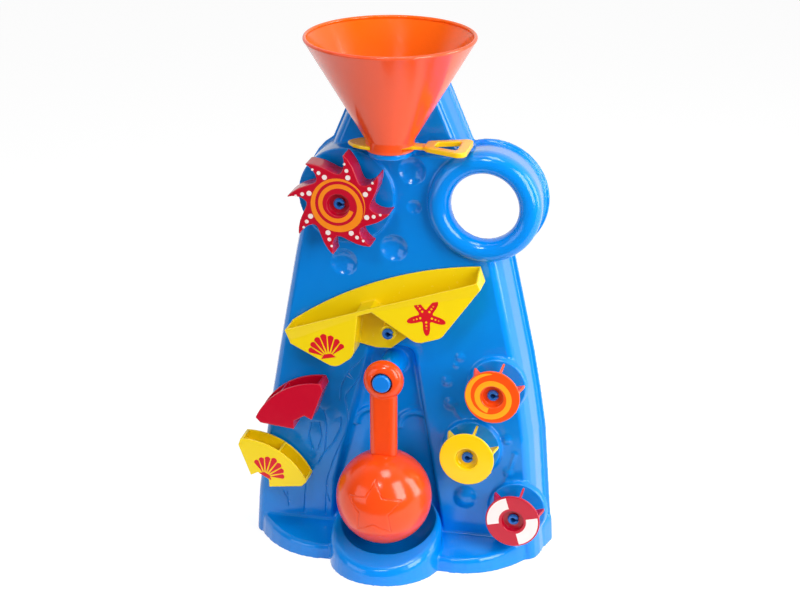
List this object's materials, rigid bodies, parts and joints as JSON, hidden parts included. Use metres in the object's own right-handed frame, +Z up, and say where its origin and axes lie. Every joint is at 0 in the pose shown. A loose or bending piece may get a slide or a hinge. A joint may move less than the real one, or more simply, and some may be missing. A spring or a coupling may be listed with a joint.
{
  "type": "sand wheel toy",
  "caption": "Upright moulded sand mill with a funnel and spade gate, a rayed wheel, a seesaw trough, tipping trays, paddle wheels and a ball pendulum.",
  "frame": {"origin": "on the floor, in the plane of the panel's face, on the middle line", "axes": "+Z up, +X to the right seen from the front, the front faces -Y"},
  "size_m": [0.2883, 0.1494, 0.4913],
  "materials": {
    "panel_blue": "glossy moulded polypropylene",
    "funnel_orange": "glossy moulded polypropylene, slightly clouded",
    "gate_yellow": "glossy moulded polypropylene",
    "sun_red": "glossy moulded polypropylene with a printed face",
    "seesaw_yellow": "glossy moulded polypropylene with a printed face",
    "tray_red": "glossy moulded polypropylene",
    "tray_yellow": "glossy moulded polypropylene with a printed face",
    "spiral_orange": "glossy moulded polypropylene with a printed face",
    "wheel_yellow": "glossy moulded polypropylene",
    "ring_red": "glossy moulded polypropylene with a printed face",
    "pendulum_orange": "glossy moulded polypropylene",
    "pin_blue": "glossy moulded nylon",
    "peg_blue": "satin moulded polypropylene"
  },
  "bodies": {
    "frame": {"panel": "panel_blue", "funnel": "funnel_orange", "sun_pin": "pin_blue", "seesaw_pin": "pin_blue", "red_tipper_pin": "pin_blue", "yellow_tipper_pin": "pin_blue", "spiral_pin": "pin_blue", "yellow_wheel_pin": "pin_blue", "ring_wheel_pin": "pin_blue", "pendulum_peg": "peg_blue"},
    "gate": {"spade": "gate_yellow"},
    "sun": {"sun_wheel": "sun_red"},
    "seesaw": {"seesaw": "seesaw_yellow"},
    "red_tray": {"red_tipper": "tray_red"},
    "yellow_tray": {"yellow_tipper": "tray_yellow"},
    "spiral_disc": {"spiral_wheel": "spiral_orange"},
    "yellow_disc": {"yellow_wheel": "wheel_yellow"},
    "ring_disc": {"ring_wheel": "ring_red"},
    "pendulum": {"pendulum_arm": "pendulum_orange", "pendulum_ball": "pendulum_orange"}
  },
  "joints": [
    {"name": "gate_slide", "type": "slide", "parent": "frame", "child": "gate", "axis": [1, 0, 0], "range_m": [0, 0.055]},
    {"name": "sun_spin", "type": "hinge", "parent": "frame", "child": "sun", "pos_m": [-0.0419, -0.02, 0.3424], "axis": [0, 1, 0], "continuous": true},
    {"name": "seesaw_tip", "type": "hinge", "parent": "frame", "child": "seesaw", "pos_m": [0, -0.014, 0.2218], "axis": [0, 1, 0], "range_deg": [0, 37.2]},
    {"name": "red_tip", "type": "hinge", "parent": "frame", "child": "red_tray", "pos_m": [-0.0874, -0.014, 0.1409], "axis": [0, 1, 0], "range_deg": [0, 64.4]},
    {"name": "yellow_tip", "type": "hinge", "parent": "frame", "child": "yellow_tray", "pos_m": [-0.11251, -0.014, 0.0797], "axis": [0, -1, 0], "range_deg": [0, 61.6]},
    {"name": "spiral_spin", "type": "hinge", "parent": "frame", "child": "spiral_disc", "pos_m": [0.0967, -0.02, 0.1728], "axis": [0, 1, 0], "continuous": true},
    {"name": "yellow_spin", "type": "hinge", "parent": "frame", "child": "yellow_disc", "pos_m": [0.07419, -0.02, 0.1099], "axis": [0, 1, 0], "continuous": true},
    {"name": "ring_spin", "type": "hinge", "parent": "frame", "child": "ring_disc", "pos_m": [0.11729, -0.02, 0.0526], "axis": [0, 1, 0], "continuous": true},
    {"name": "pendulum_swing", "type": "hinge", "parent": "frame", "child": "pendulum", "pos_m": [0, -0.0371, 0.1838], "axis": [0, 1, 0], "range_deg": [-7, 7]}
  ]
}
